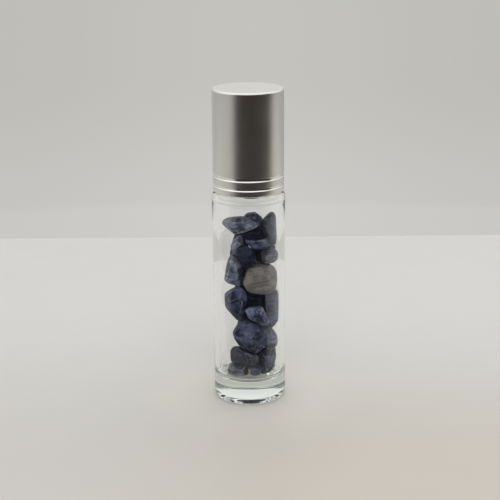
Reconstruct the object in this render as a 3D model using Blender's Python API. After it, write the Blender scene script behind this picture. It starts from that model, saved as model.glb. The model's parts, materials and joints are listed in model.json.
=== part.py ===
"""Clear glass roll-on bottle of ten millilitres, with a satin cap and a fill of tumbled stone chips.

Units are metres and +Z is up. The origin is the centre of the face that the bottle stands on.
"""

import math
import random

import bmesh
import bpy
import numpy as np
from mathutils import Vector

# Glass bottle
BODY_RADIUS = 0.0100
SHOULDER_HEIGHT = 0.0589
SHOULDER_RADIUS = 0.0014
HEEL_RADIUS = 0.0010
CONTACT_WIDTH = 0.0018
PUNT_DEPTH = 0.0006
PUNT_FLAT_SHARE = 0.72
GLASS_WALL = 0.0014
FLOOR_THICKNESS = 0.0058
FLOOR_CORNER = 0.0030
ROOF_THICKNESS = 0.0008
ROOF_CORNER = 0.0016
BELT_SWELL = 0.0005
BELT_HEIGHT = 0.0480
BELT_REACH = 0.0102
NECK_LENGTH = 0.0121
NECK_WALL = 0.0014
NECK_FILLET = 0.0005
LIP_RADIUS = 0.0004
BEAD_BULGE = 0.0005
BEAD_RISE = 0.0022

# Ball and its housing
BALL_RISE = 0.0015
CUP_WALL = 0.0009
LIP_WALL = 0.0005
FLANGE_WIDTH = 0.0009
FLANGE_THICKNESS = 0.0010
PLUG_LENGTH = 0.0062
PLUG_WALL = 0.0010
PLUG_CHAMFER = 0.0004
RIB_BULGE = 0.00012
RIB_HALF_HEIGHT = 0.0003
RIB_HEIGHT_SHARES = (0.35, 0.65)
FEED_HOLE_RADIUS = 0.0018
SEAT_THICKNESS = 0.0008

# Cap
CAP_INSET = 0.00035
CAP_LENGTH = 0.0276
CAP_STAND_OFF = 0.0005
CAP_RIM_RADIUS = 0.00065
SHELL_WALL = 0.0004
SHELL_HEM = 0.00015
GROOVE_DEPTH = 0.00012
GROOVE_SLOPE = 0.00010
UPPER_GROOVE_RISE = 0.0044
UPPER_GROOVE_WIDTH = 0.00095
LOWER_GROOVE_RISE = 0.0018
LOWER_GROOVE_WIDTH = 0.0008
LINER_WALL = 0.00075
LINER_RECESS = 0.0008
THREAD_ROOM = 0.0009
WEB_THICKNESS = 0.0009
SKIRT_WALL = 0.0008

# Fits
FIT_GAP = 0.0003
CHIP_GAP = 0.0003
MERGE_DISTANCE = 0.00001
CHIP_MERGE_DISTANCE = 0.0006

# Facets
TURNED_SEGMENTS = 32
BALL_RINGS = 12
BALL_SEGMENTS = 24
ARC_STEPS = 4
SOCKET_STEPS = 8
BELT_STEPS = 6
DIRECTION_COUNT = 400
CHIP_SMOOTHING = 0.5
CHIP_SEED = 7

# Radii, from the body in through the cap and the neck to the ball
CAP_RADIUS = BODY_RADIUS - CAP_INSET
SHELL_INNER_RADIUS = CAP_RADIUS - SHELL_WALL
LINER_RADIUS = SHELL_INNER_RADIUS - FIT_GAP
LINER_BORE_RADIUS = LINER_RADIUS - LINER_WALL
NECK_RADIUS = LINER_BORE_RADIUS - THREAD_ROOM
BORE_RADIUS = NECK_RADIUS - NECK_WALL
SOCKET_RADIUS = BORE_RADIUS - CUP_WALL
BALL_RADIUS = SOCKET_RADIUS - FIT_GAP
CAVITY_RADIUS = BODY_RADIUS - GLASS_WALL

# Heights
CAVITY_TOP = SHOULDER_HEIGHT - ROOF_THICKNESS
CAVITY_HEIGHT = CAVITY_TOP - FLOOR_THICKNESS
CAP_BOTTOM = SHOULDER_HEIGHT + CAP_STAND_OFF
NECK_TOP = SHOULDER_HEIGHT + NECK_LENGTH
BALL_HEIGHT = NECK_TOP + BALL_RISE

# Angles at which the socket ends, above and below the ball's equator
LIP_ANGLE = math.radians(25)
SEAT_ANGLE = math.acos(FEED_HOLE_RADIUS / SOCKET_RADIUS)

# The pile of chips follows the cavity, and fills this share of its height
PILE_SHARE = 0.899
PILE_HEIGHT = CAVITY_HEIGHT * PILE_SHARE
CHIP_SWELL_SHARE = 1.10

# Depths and outline sizes of the sections that one chip is lofted through
LOFT_SHARES = ((-0.92, 0.48), (-0.4, 0.97), (0.35, 0.97), (0.92, 0.45))
LEAN_SHARE = 0.16
SECTION_SPREAD_SHARE = 0.10

COLOURS = {
    "glass": (0.86, 0.93, 0.90),
    "aluminium": (0.63, 0.62, 0.60),
    "white_plastic": (0.86, 0.86, 0.84),
    "natural_plastic": (0.80, 0.81, 0.79),
    "steel": (0.62, 0.62, 0.61),
    "night": (0.018, 0.020, 0.034),
    "slate": (0.050, 0.056, 0.085),
    "haze": (0.105, 0.115, 0.140),
    "beige": (0.240, 0.225, 0.190),
    "umber": (0.085, 0.078, 0.070),
}

# Each chip has a name, a colour, its centre (across, deep, up) and half sizes (across, deep, tall),
# and its outline seen from the front. The first two values of a place follow the cavity's radius and
# the third follows the pile's height. An outline's points are shares of the chip's own half sizes.
CHIP_SHARES = (
    ("chip_beak", "slate", (-0.25, -0.30, 0.930), (0.61, 0.30, 0.058),
     ((-1.0, 0.4), (-0.7, 0.85), (0.1, 1.0), (1.0, 0.15), (0.85, -0.5), (0.05, -1.0), (-0.45, -0.5))),
    ("chip_dome", "night", (0.17, 0.30, 0.915), (0.36, 0.34, 0.062),
     ((-1.0, 0.65), (-0.55, 0.95), (0.1, 1.0), (0.75, 0.5), (1.0, -0.2), (0.4, -1.0), (-0.7, -0.7))),
    ("chip_ear", "haze", (0.68, 0.00, 0.903), (0.22, 0.34, 0.097),
     ((0.35, 1.0), (0.95, 0.75), (1.0, -0.15), (0.75, -0.9), (-0.1, -1.0), (-0.95, -0.3), (-1.0, 0.45))),
    ("chip_pupil", "night", (0.12, -0.36, 0.897), (0.42, 0.24, 0.040),
     ((-1.0, 0.2), (-0.75, 0.75), (-0.05, 1.0), (0.75, 0.65), (1.0, -0.35), (0.45, -1.0), (-0.45, -1.0))),
    ("chip_cheek", "slate", (0.24, -0.41, 0.846), (0.36, 0.26, 0.042),
     ((-1.0, 0.3), (-0.4, 0.8), (0.5, 1.0), (0.95, 0.55), (1.0, -0.35), (0.5, -1.0), (-0.55, -0.75))),
    ("chip_bun", "haze", (-0.36, -0.12, 0.815), (0.23, 0.34, 0.052),
     ((-1.0, -0.05), (-0.5, 0.65), (0.25, 1.0), (0.8, 0.65), (1.0, -0.3), (0.35, -1.0), (-0.65, -1.0))),
    ("chip_tooth", "slate", (-0.11, -0.51, 0.762), (0.28, 0.26, 0.058),
     ((-1.0, 0.5), (-0.55, 1.0), (0.4, 1.0), (1.0, 0.35), (0.95, -0.5), (0.25, -1.0), (-0.35, -0.7))),
    ("chip_flank", "slate", (-0.48, -0.12, 0.663), (0.31, 0.37, 0.100),
     ((-0.5, 0.75), (-0.05, 1.0), (0.6, 0.8), (1.0, 0.0), (0.75, -1.0), (-0.1, -0.85), (-1.0, -0.7))),
    ("chip_knuckle", "umber", (0.62, -0.16, 0.751), (0.26, 0.34, 0.048),
     ((-1.0, 0.55), (-0.1, 1.0), (0.8, 0.8), (1.0, 0.0), (0.5, -0.9), (-0.85, -1.0))),
    ("chip_crumb", "umber", (0.75, 0.06, 0.797), (0.13, 0.20, 0.022),
     ((-1.0, 0.85), (0.15, 1.0), (1.0, 0.25), (0.45, -1.0), (-1.0, -1.0))),
    ("chip_loaf", "beige", (0.34, -0.37, 0.628), (0.54, 0.41, 0.094),
     ((-1.0, -0.4), (-0.8, 0.45), (-0.35, 0.9), (0.45, 1.0), (1.0, 0.4), (0.95, -0.7), (0.45, -1.0),
      (-0.6, -0.95))),
    ("chip_shield", "night", (-0.43, -0.27, 0.462), (0.33, 0.39, 0.104),
     ((-1.0, 0.55), (-0.4, 0.85), (0.55, 1.0), (1.0, 0.55), (0.9, -0.45), (0.5, -1.0), (0.0, -0.95),
      (-1.0, -0.15))),
    ("chip_shade", "night", (0.16, 0.14, 0.452), (0.40, 0.40, 0.074),
     ((-1.0, 1.0), (0.9, 0.9), (1.0, -0.6), (0.05, -1.0), (-0.9, -0.65))),
    ("chip_pillar", "slate", (0.67, 0.00, 0.410), (0.30, 0.40, 0.118),
     ((-0.95, 0.8), (-0.1, 1.0), (0.9, 0.95), (1.0, 0.15), (0.9, -0.55), (0.2, -1.0), (-0.55, -0.85),
      (-1.0, 0.15))),
    ("chip_arrow", "slate", (0.23, -0.58, 0.401), (0.35, 0.24, 0.056),
     ((-1.0, 0.6), (-0.5, 0.95), (0.5, 1.0), (0.8, 0.2), (1.0, -0.65), (0.55, -1.0), (-0.25, -0.55),
      (-0.8, -0.05))),
    ("chip_diamond", "slate", (0.03, -0.37, 0.266), (0.57, 0.40, 0.100),
     ((-1.0, 0.25), (-0.5, 0.9), (0.0, 1.0), (0.7, 0.7), (1.0, 0.1), (0.8, -0.6), (0.4, -1.0),
      (-0.25, -0.9), (-0.65, -0.4))),
    ("chip_wing", "haze", (0.68, 0.14, 0.220), (0.29, 0.34, 0.070),
     ((-1.0, 0.75), (-0.1, 1.0), (0.7, 0.45), (1.0, -0.3), (0.45, -1.0), (-0.8, -0.85))),
    ("chip_boot", "night", (0.56, -0.10, 0.090), (0.28, 0.34, 0.090),
     ((-0.65, 0.7), (0.15, 1.0), (1.0, 0.9), (0.95, 0.0), (0.5, -0.65), (-0.15, -1.0), (-0.85, -0.8),
      (-1.0, 0.1))),
    ("chip_bark", "umber", (-0.16, -0.44, 0.139), (0.44, 0.30, 0.058),
     ((-1.0, 0.55), (-0.75, 0.95), (0.05, 1.0), (0.65, 0.6), (1.0, -0.15), (0.75, -1.0), (-0.05, -0.9),
      (-1.0, -0.45))),
    ("chip_block", "slate", (-0.35, -0.34, 0.045), (0.33, 0.34, 0.050),
     ((-0.9, 0.85), (0.1, 1.0), (1.0, 0.6), (0.95, -0.4), (0.45, -1.0), (-0.65, -0.95), (-1.0, -0.45))),
    ("chip_keel", "slate", (0.14, -0.37, 0.045), (0.25, 0.28, 0.044),
     ((-1.0, 0.8), (0.25, 1.0), (1.0, 0.35), (0.7, -0.5), (0.05, -1.0), (-0.7, -0.2))),
    ("chip_rear_upper", "night", (0.28, 0.40, 0.775), (0.47, 0.36, 0.098),
     ((-1.0, 0.2), (-0.5, 1.0), (0.6, 0.8), (1.0, 0.1), (0.6, -0.9), (-0.4, -1.0))),
    ("chip_rear_left", "slate", (-0.22, 0.45, 0.765), (0.40, 0.38, 0.105),
     ((-1.0, -0.1), (-0.6, 0.9), (0.5, 1.0), (1.0, 0.0), (0.3, -1.0), (-0.8, -0.7))),
    ("chip_rear_loaf", "haze", (0.10, 0.47, 0.612), (0.58, 0.38, 0.104),
     ((-1.0, 0.3), (-0.3, 1.0), (0.8, 0.7), (1.0, -0.4), (0.2, -1.0), (-0.8, -0.6))),
    ("chip_rear_waist", "night", (-0.20, 0.48, 0.435), (0.42, 0.38, 0.110),
     ((-1.0, 0.1), (-0.5, 1.0), (0.7, 0.7), (1.0, -0.5), (0.1, -1.0), (-0.8, -0.8))),
    ("chip_rear_lower", "slate", (0.10, 0.47, 0.275), (0.52, 0.38, 0.100),
     ((-1.0, 0.0), (-0.6, 0.8), (0.3, 1.0), (1.0, 0.2), (0.7, -0.9), (-0.5, -1.0))),
    ("chip_rear_right", "slate", (0.50, 0.52, 0.440), (0.38, 0.34, 0.092),
     ((-1.0, -0.3), (-0.7, 0.7), (0.2, 1.0), (1.0, 0.5), (0.8, -0.7), (-0.1, -1.0))),
    ("chip_rear_foot", "umber", (0.06, 0.42, 0.100), (0.42, 0.36, 0.090),
     ((-1.0, 0.4), (-0.2, 1.0), (0.8, 0.7), (1.0, -0.4), (0.4, -1.0), (-0.7, -0.9))),
)


def clear_scene():
    for item in list(bpy.data.objects):
        bpy.data.objects.remove(item, do_unlink=True)


def finish_material(name, colour, roughness, metallic=0.0, transmission=0.0, ior=1.5):
    """Plain Principled finish that one piece, or one kind of chip, wears."""
    material = bpy.data.materials.new(name)
    material.use_nodes = True
    shader = material.node_tree.nodes["Principled BSDF"]
    shader.inputs["Base Color"].default_value = (*colour, 1.0)
    shader.inputs["Roughness"].default_value = roughness
    shader.inputs["Metallic"].default_value = metallic
    shader.inputs["Transmission Weight"].default_value = transmission
    shader.inputs["IOR"].default_value = ior
    material.diffuse_color = (*colour, 1.0)
    return material


def clear_glass():
    return finish_material("clear_glass", COLOURS["glass"], 0.02, transmission=1.0, ior=1.51)


def satin_aluminium():
    return finish_material("satin_aluminium", COLOURS["aluminium"], 0.34, metallic=1.0)


def polished_steel():
    return finish_material("polished_steel", COLOURS["steel"], 0.08, metallic=1.0)


def moulded_plastic(name, colour):
    return finish_material(name, colour, 0.38, ior=1.49)


def polished_stone(colour):
    return finish_material("stone_" + colour, COLOURS[colour], 0.22, ior=1.54)


def make_object(name, mesh_data, material, parent=None, location=(0, 0, 0)):
    """Turn a bmesh into one named, shaded object."""
    mesh = bpy.data.meshes.new(name)
    bmesh.ops.recalc_face_normals(mesh_data, faces=mesh_data.faces)
    mesh_data.to_mesh(mesh)
    mesh_data.free()
    mesh.materials.append(material)
    mesh.shade_smooth()
    mesh.set_sharp_from_angle(angle=math.radians(32))
    item = bpy.data.objects.new(name, mesh)
    item.location = location
    item.parent = parent
    bpy.context.scene.collection.objects.link(item)
    return item


def arc(centre_radius, centre_height, radius, start_degrees, end_degrees, steps=ARC_STEPS):
    """Points of a round stretch of a turned profile, both ends included."""
    points = []
    for step in range(steps + 1):
        angle = math.radians(start_degrees + (end_degrees - start_degrees) * step / steps)
        points.append((centre_radius + radius * math.cos(angle), centre_height + radius * math.sin(angle)))
    return points


def turned(profile, closed=False):
    """Spin a profile of (radius, height) points round the Z axis.

    An open profile starts and ends on the axis. A closed one is a ring that clears the axis.
    """
    body = bmesh.new()
    corners = [body.verts.new((radius, 0, height)) for radius, height in profile]
    edges = [body.edges.new(pair) for pair in zip(corners, corners[1:])]
    if closed:
        edges.append(body.edges.new((corners[-1], corners[0])))
    bmesh.ops.spin(
        body,
        geom=corners + edges,
        cent=(0, 0, 0),
        axis=(0, 0, 1),
        angle=math.tau,
        steps=TURNED_SEGMENTS,
        use_merge=True,
    )
    bmesh.ops.remove_doubles(body, verts=body.verts, dist=MERGE_DISTANCE)
    return body


def belt_swell(height):
    """How far the glass swells into the cavity at this height."""
    reach = (height - BELT_HEIGHT) / BELT_REACH
    if abs(reach) >= 1:
        return 0.0
    return BELT_SWELL * (0.5 + 0.5 * math.cos(math.pi * reach))


def cavity_radius_at(height):
    """Radius of the cavity's wall, with the round corner that the floor turns up through."""
    radius = CAVITY_RADIUS - belt_swell(height)
    above_floor = height - FLOOR_THICKNESS
    if above_floor < FLOOR_CORNER:
        drop = FLOOR_CORNER - max(above_floor, 0.0)
        radius += math.sqrt(FLOOR_CORNER ** 2 - drop ** 2) - FLOOR_CORNER
    return radius


def glass_profile():
    """Outline of half the bottle, from the centre of its base out, up, in and down to its floor."""
    heel_centre = BODY_RADIUS - HEEL_RADIUS
    ring_radius = heel_centre - CONTACT_WIDTH
    points = [(0, PUNT_DEPTH), (ring_radius * PUNT_FLAT_SHARE, PUNT_DEPTH), (ring_radius, 0)]
    points += arc(heel_centre, HEEL_RADIUS, HEEL_RADIUS, -90, 0)
    points += arc(BODY_RADIUS - SHOULDER_RADIUS, SHOULDER_HEIGHT - SHOULDER_RADIUS, SHOULDER_RADIUS, 0, 90)
    points += arc(NECK_RADIUS + NECK_FILLET, SHOULDER_HEIGHT + NECK_FILLET, NECK_FILLET, -90, -180, 2)
    points += arc(NECK_RADIUS, SHOULDER_HEIGHT + BEAD_RISE, BEAD_BULGE, -90, 90)
    points += arc(NECK_RADIUS - LIP_RADIUS, NECK_TOP - LIP_RADIUS, LIP_RADIUS, 0, 90, 2)
    points += arc(BORE_RADIUS + LIP_RADIUS, NECK_TOP - LIP_RADIUS, LIP_RADIUS, 90, 180, 2)
    points += arc(BORE_RADIUS + NECK_FILLET, CAVITY_TOP + NECK_FILLET, NECK_FILLET, 180, 270, 2)
    points += arc(CAVITY_RADIUS - ROOF_CORNER, CAVITY_TOP - ROOF_CORNER, ROOF_CORNER, 90, 0)
    for step in range(BELT_STEPS + 1):
        height = BELT_HEIGHT + BELT_REACH * (1 - 2 * step / BELT_STEPS)
        if height < CAVITY_TOP - ROOF_CORNER:
            points.append((CAVITY_RADIUS - belt_swell(height), height))
    points += arc(CAVITY_RADIUS - FLOOR_CORNER, FLOOR_THICKNESS + FLOOR_CORNER, FLOOR_CORNER, 0, -90)
    points.append((0, FLOOR_THICKNESS))
    return points


def glass_bottle():
    return make_object("glass_bottle", turned(glass_profile()), clear_glass())


def housing_profile():
    """Closed outline of the fitment: plug with its two retaining ribs, flange, cup, lip and ball seat."""
    plug_radius = BORE_RADIUS - FIT_GAP
    plug_bottom = NECK_TOP - PLUG_LENGTH
    flange_bottom = NECK_TOP + FIT_GAP
    flange_top = flange_bottom + FLANGE_THICKNESS
    cup_radius = SOCKET_RADIUS + CUP_WALL
    mouth_radius = SOCKET_RADIUS * math.cos(LIP_ANGLE)
    mouth_height = BALL_HEIGHT + SOCKET_RADIUS * math.sin(LIP_ANGLE)
    seat_bottom = BALL_HEIGHT - SOCKET_RADIUS * math.sin(SEAT_ANGLE) - SEAT_THICKNESS
    points = [(plug_radius - PLUG_WALL, plug_bottom), (plug_radius - PLUG_CHAMFER, plug_bottom)]
    points.append((plug_radius, plug_bottom + PLUG_CHAMFER))
    for height_share in RIB_HEIGHT_SHARES:
        rib = plug_bottom + PLUG_LENGTH * height_share
        points += [(plug_radius, rib - RIB_HALF_HEIGHT), (plug_radius + RIB_BULGE, rib)]
        points.append((plug_radius, rib + RIB_HALF_HEIGHT))
    points += [(plug_radius, flange_bottom), (cup_radius + FLANGE_WIDTH, flange_bottom)]
    points += [(cup_radius + FLANGE_WIDTH, flange_top), (cup_radius, flange_top)]
    points += [(cup_radius, (flange_top + mouth_height) / 2), (mouth_radius + LIP_WALL, mouth_height)]
    top_degrees = math.degrees(LIP_ANGLE)
    points += arc(0, BALL_HEIGHT, SOCKET_RADIUS, top_degrees, -math.degrees(SEAT_ANGLE), SOCKET_STEPS)
    points += [(FEED_HOLE_RADIUS, seat_bottom), (plug_radius - PLUG_WALL, seat_bottom)]
    return points


def roller_housing():
    plastic = moulded_plastic("housing_plastic", COLOURS["natural_plastic"])
    return make_object("roller_housing", turned(housing_profile(), closed=True), plastic)


def roller_ball():
    """Steel ball, with its origin at its centre, where it turns."""
    ball = bmesh.new()
    bmesh.ops.create_uvsphere(ball, u_segments=BALL_SEGMENTS, v_segments=BALL_RINGS, radius=BALL_RADIUS)
    return make_object("roller_ball", ball, polished_steel(), location=(0, 0, BALL_HEIGHT))


def cap_axis():
    """Empty at the centre of the cap's mouth, on the axis that the cap turns round and lifts along."""
    axis = bpy.data.objects.new("cap_axis", None)
    axis.location = (0, 0, CAP_BOTTOM)
    bpy.context.scene.collection.objects.link(axis)
    return axis


def groove(rise, width):
    """One polished groove round the shell, listed upwards."""
    floor_radius = CAP_RADIUS - GROOVE_DEPTH
    low = rise - width / 2
    high = rise + width / 2
    return [
        (CAP_RADIUS, low),
        (floor_radius, low + GROOVE_SLOPE),
        (floor_radius, high - GROOVE_SLOPE),
        (CAP_RADIUS, high),
    ]


def cap_shell(parent):
    """Drawn aluminium shell, measured up from its mouth."""
    points = [(SHELL_INNER_RADIUS, 0), (CAP_RADIUS - SHELL_HEM, 0), (CAP_RADIUS, SHELL_HEM)]
    points += groove(LOWER_GROOVE_RISE, LOWER_GROOVE_WIDTH)
    points += groove(UPPER_GROOVE_RISE, UPPER_GROOVE_WIDTH)
    points += arc(CAP_RADIUS - CAP_RIM_RADIUS, CAP_LENGTH - CAP_RIM_RADIUS, CAP_RIM_RADIUS, 0, 90)
    ceiling = CAP_LENGTH - SHELL_WALL
    points += [(0, CAP_LENGTH), (0, ceiling)]
    inner_corner = max(CAP_RIM_RADIUS - SHELL_WALL, SHELL_HEM)
    points += arc(SHELL_INNER_RADIUS - inner_corner, ceiling - inner_corner, inner_corner, 90, 0, 2)
    return make_object("cap_shell", turned(points, closed=True), satin_aluminium(), parent)


def cap_liner(parent):
    """Moulded inner cap: threaded wall, web over the ball, seal skirt, and a well that opens upwards."""
    bottom = LINER_RECESS
    top = CAP_LENGTH - SHELL_WALL - FIT_GAP
    web_bottom = BALL_HEIGHT + BALL_RADIUS + FIT_GAP - CAP_BOTTOM
    web_top = web_bottom + WEB_THICKNESS
    skirt_bottom = NECK_TOP + FIT_GAP + FLANGE_THICKNESS + FIT_GAP - CAP_BOTTOM
    skirt_radius = SOCKET_RADIUS + CUP_WALL + FIT_GAP
    points = [(0, web_bottom), (skirt_radius, web_bottom), (skirt_radius, skirt_bottom)]
    points += [(skirt_radius + SKIRT_WALL, skirt_bottom), (skirt_radius + SKIRT_WALL, web_bottom)]
    points += [(LINER_BORE_RADIUS, web_bottom), (LINER_BORE_RADIUS, bottom), (LINER_RADIUS, bottom)]
    points += [(LINER_RADIUS, top), (LINER_BORE_RADIUS, top), (LINER_BORE_RADIUS, web_top), (0, web_top)]
    plastic = moulded_plastic("liner_plastic", COLOURS["white_plastic"])
    return make_object("cap_liner", turned(points), plastic, parent)


def chip_points(centre_share, half_share, outline_shares, generator):
    """Points of one chip, lofted through its sections from front to back and kept inside the cavity."""
    points = []
    room = FIT_GAP
    lean = (generator.uniform(-LEAN_SHARE, LEAN_SHARE), generator.uniform(-LEAN_SHARE, LEAN_SHARE))
    for depth_share, section_share in LOFT_SHARES:
        for across_share, up_share in outline_shares:
            size_share = section_share * (1 - generator.uniform(0, SECTION_SPREAD_SHARE))
            x = centre_share[0] + half_share[0] * (across_share * size_share + lean[0] * depth_share)
            y = centre_share[1] + half_share[1] * depth_share
            z = centre_share[2] + half_share[2] * (up_share * size_share + lean[1] * depth_share)
            height = FLOOR_THICKNESS + PILE_HEIGHT * z
            height = min(max(height, FLOOR_THICKNESS + room), CAVITY_TOP - room)
            place = Vector((x * CAVITY_RADIUS, y * CAVITY_RADIUS))
            limit = cavity_radius_at(height - room) - room
            if place.length > limit:
                place = place * (limit / place.length)
            points.append((place.x, place.y, height))
    return np.array(points)


def hull(points):
    """Convex body round a set of points."""
    body = bmesh.new()
    for point in points:
        body.verts.new(point)
    bmesh.ops.remove_doubles(body, verts=body.verts, dist=CHIP_MERGE_DISTANCE)
    bmesh.ops.convex_hull(body, input=body.verts, use_existing_faces=False)
    inner = [vertex for vertex in body.verts if not vertex.link_faces]
    bmesh.ops.delete(body, geom=inner, context="VERTS")
    return body


def trimmed(points, plane_point, plane_normal):
    """What is left of a convex set of points behind a plane."""
    body = hull(points)
    bmesh.ops.bisect_plane(
        body,
        geom=body.verts[:] + body.edges[:] + body.faces[:],
        plane_co=plane_point,
        plane_no=plane_normal,
        clear_outer=True,
    )
    kept = np.array([tuple(vertex.co) for vertex in body.verts])
    body.free()
    return kept


def directions():
    """Even spread of unit directions over a sphere."""
    golden_angle = math.pi * (3 - math.sqrt(5))
    spread = []
    for index in range(DIRECTION_COUNT):
        z = 1 - 2 * (index + 0.5) / DIRECTION_COUNT
        radius = math.sqrt(1 - z * z)
        spread.append((radius * math.cos(golden_angle * index), radius * math.sin(golden_angle * index), z))
    return np.array(spread)


def part_chips(first, second, spread):
    """Cut two chips back from each other, along the plane that takes the least, to leave a fixed gap."""
    highest = (first @ spread.T).max(axis=0)
    lowest = (second @ spread.T).min(axis=0)
    best = int((lowest - highest).argmax())
    if lowest[best] - highest[best] >= CHIP_GAP:
        return first, second
    normal = Vector(spread[best])
    middle = (lowest[best] + highest[best]) / 2
    first = trimmed(first, normal * (middle - CHIP_GAP / 2), normal)
    second = trimmed(second, normal * (middle + CHIP_GAP / 2), -normal)
    return first, second


def tumbled(points):
    """Chip with its corners worn round. Wearing only takes stone away, so the gaps hold."""
    body = hull(points)
    bmesh.ops.subdivide_edges(body, edges=body.edges, cuts=1, use_grid_fill=True)
    bmesh.ops.smooth_vert(
        body, verts=body.verts, factor=CHIP_SMOOTHING, use_axis_x=True, use_axis_y=True, use_axis_z=True
    )
    bmesh.ops.triangulate(body, faces=body.faces)
    return body


def stone_chips():
    """Pile of chips: lofted, parted from every neighbour, then tumbled."""
    generator = random.Random(CHIP_SEED)
    stones = []
    for name, colour, centre_share, half_share, outline_shares in CHIP_SHARES:
        swollen = tuple(share * CHIP_SWELL_SHARE for share in half_share)
        stones.append(chip_points(centre_share, swollen, outline_shares, generator))
    spread = directions()
    for first in range(len(stones)):
        for second in range(first + 1, len(stones)):
            stones[first], stones[second] = part_chips(stones[first], stones[second], spread)
    for points, row in zip(stones, CHIP_SHARES):
        make_object(row[0], tumbled(points), polished_stone(row[1]))


def main():
    clear_scene()
    glass_bottle()
    roller_housing()
    roller_ball()
    axis = cap_axis()
    cap_shell(axis)
    cap_liner(axis)
    stone_chips()


main()
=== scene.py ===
import json
import math
import random

import bmesh
import bpy
import numpy as np
from mathutils import Euler, Matrix, Vector, noise


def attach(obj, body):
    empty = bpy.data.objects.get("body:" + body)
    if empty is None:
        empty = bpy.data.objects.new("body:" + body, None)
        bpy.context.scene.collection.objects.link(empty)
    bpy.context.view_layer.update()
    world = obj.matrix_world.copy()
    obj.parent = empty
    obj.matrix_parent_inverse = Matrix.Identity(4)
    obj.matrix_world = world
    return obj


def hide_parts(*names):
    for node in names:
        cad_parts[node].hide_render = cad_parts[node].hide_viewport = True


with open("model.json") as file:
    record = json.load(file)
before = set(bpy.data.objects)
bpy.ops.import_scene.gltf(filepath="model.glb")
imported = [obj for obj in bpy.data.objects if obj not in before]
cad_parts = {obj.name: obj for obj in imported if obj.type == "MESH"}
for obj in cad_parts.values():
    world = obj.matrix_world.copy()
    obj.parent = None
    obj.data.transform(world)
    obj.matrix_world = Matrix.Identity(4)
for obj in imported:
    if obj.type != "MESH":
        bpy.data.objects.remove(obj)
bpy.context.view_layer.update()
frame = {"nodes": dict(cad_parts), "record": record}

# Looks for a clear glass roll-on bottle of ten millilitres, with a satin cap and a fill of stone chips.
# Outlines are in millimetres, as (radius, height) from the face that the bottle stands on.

MM = 0.001

# Glass bottle
BODY = 10.0
SHOULDER = 58.9
SHOULDER_CORNER = 1.4
CAVITY = 8.6
CAVITY_FLOOR = 5.8
FLOOR_CORNER = 3.0
CAVITY_ROOF = 58.1
ROOF_CORNER = 1.6
HEEL = 1.0
PUNT_FOOT = 7.2
PUNT_BROW = 5.2
PUNT_DEPTH = 0.6
PUNT_DISH = 0.08
NECK = 7.3
NECK_TOP = 71.0
NECK_FILLET = 0.5
BEAD = 0.5
BEAD_RISE = 2.2
LIP = 0.4
BORE = 5.9
BELT_HEIGHT = 48.0
BELT_REACH = 10.2
BELT_SWELL = 0.5
WALL_WAVES = 0.035

# Screw thread, one start and right-handed, on the neck and in the liner
LEAD = 3.0
NECK_THREAD_FOOT = 63.3
NECK_THREAD_TURNS = 2.1
NECK_THREAD_RISE = 0.55
LINER_THREAD_TURNS = 1.9
LINER_THREAD_START = 0.25

# Ball and housing. The plug's ribs are at shares of its length, and the lip's angle is over the ball's middle.
FIT_GAP = 0.3
BALL_HEIGHT = 72.5
BALL = 4.7
SOCKET = 5.0
PLUG_FOOT = 64.8
PLUG_LENGTH = 6.2
PLUG_WALL = 1.0
PLUG_CHAMFER = 0.4
PLUG_RIBS = (0.35, 0.65)
RIB_BULGE = 0.12
RIB_HALF = 0.3
FLANGE = 6.8
FLANGE_FOOT = 71.3
FLANGE_TOP = 72.3
CUP = 5.9
CUP_LIP_ANGLE = 25
CUP_LIP_WALL = 0.45
FEED_HOLE = 1.8
SEAT_WALL = 0.8

# Cap shell. Grooves are given as (height of the middle, width).
CAP = 9.65
CAP_FOOT = 59.4
CAP_TOP = 87.0
CAP_CORNER = 0.65
SHELL_WALL = 0.4
SHELL_HEM = 0.15
HEM_BEND = 0.12
GROOVES = ((61.2, 0.8), (63.8, 0.95))
GROOVE_DEPTH = 0.15

# Cap liner
LINER = 8.95
LINER_BORE = 8.2
LINER_FOOT = 60.2
LINER_TOP = 86.3
SKIRT = 7.0
SKIRT_BORE = 6.2
SKIRT_FOOT = 72.6
WEB = 0.9
GRIP_RIBS = 60
GRIP_RIB_LENGTH = 24.6
GRIP_RIB_MIDDLE = 73.3

# Chips. Faces less than FLAT_ANGLE degrees apart are one flat. Dents are given as (depth, waves in a millimetre).
WORN_DETAIL = 0.15
FLATS_MOST = 12
FLAT_ANGLE = 22
GROUND_OFF = (0.10, 0.26)
EDGE_BEND = 0.002
EDGE_BEND_RANGE = 0.008
CHIP_SWELL = 0.20
FULLER_CHIPS = {"cheek": 0.15, "tooth": 0.15}
DENTS = ((0.05, 0.42), (0.03, 1.25), (0.008, 4.0))
GRAIN_SHIFT = 40
CHIP_SEED = 23

# Fineness: segments round the axis, and cuts across the cube that the ball starts from
GLASS_SEGMENTS = 160
MOULDED_SEGMENTS = 128
SHELL_SEGMENTS = 192
BALL_CUTS = 31

# Stage, in metres and degrees. Sides are level directions from the bottle.
DARK_ROOM_SIDE = (0.316, -0.949, 0.0)
DARK_FLOOR_SIDE = (-0.087, -0.996, 0.0)
FLOOR_HALF_WIDTH = 0.45
FLOOR_FRONT = -0.22
FLOOR_BACK = 0.158
FLOOR_DROP = 0.00003
CAMERA_PLACE = (0, -0.3313, 0.1420)
CAMERA_PITCH = 16.79
CAMERA_ROLL = -0.437
CAMERA_LENS = 90.55
CAMERA_SHIFT = 0.00216
LIGHT_BOUNCES = 32


# Outlines and meshes


def arc(centre_radius, centre_height, radius, first, last, steps=8):
    """Points of a round stretch of an outline, from one angle to another in degrees."""
    points = []
    for step in range(steps + 1):
        angle = math.radians(first + (last - first) * step / steps)
        points.append((centre_radius + radius * math.cos(angle), centre_height + radius * math.sin(angle)))
    return points


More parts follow.
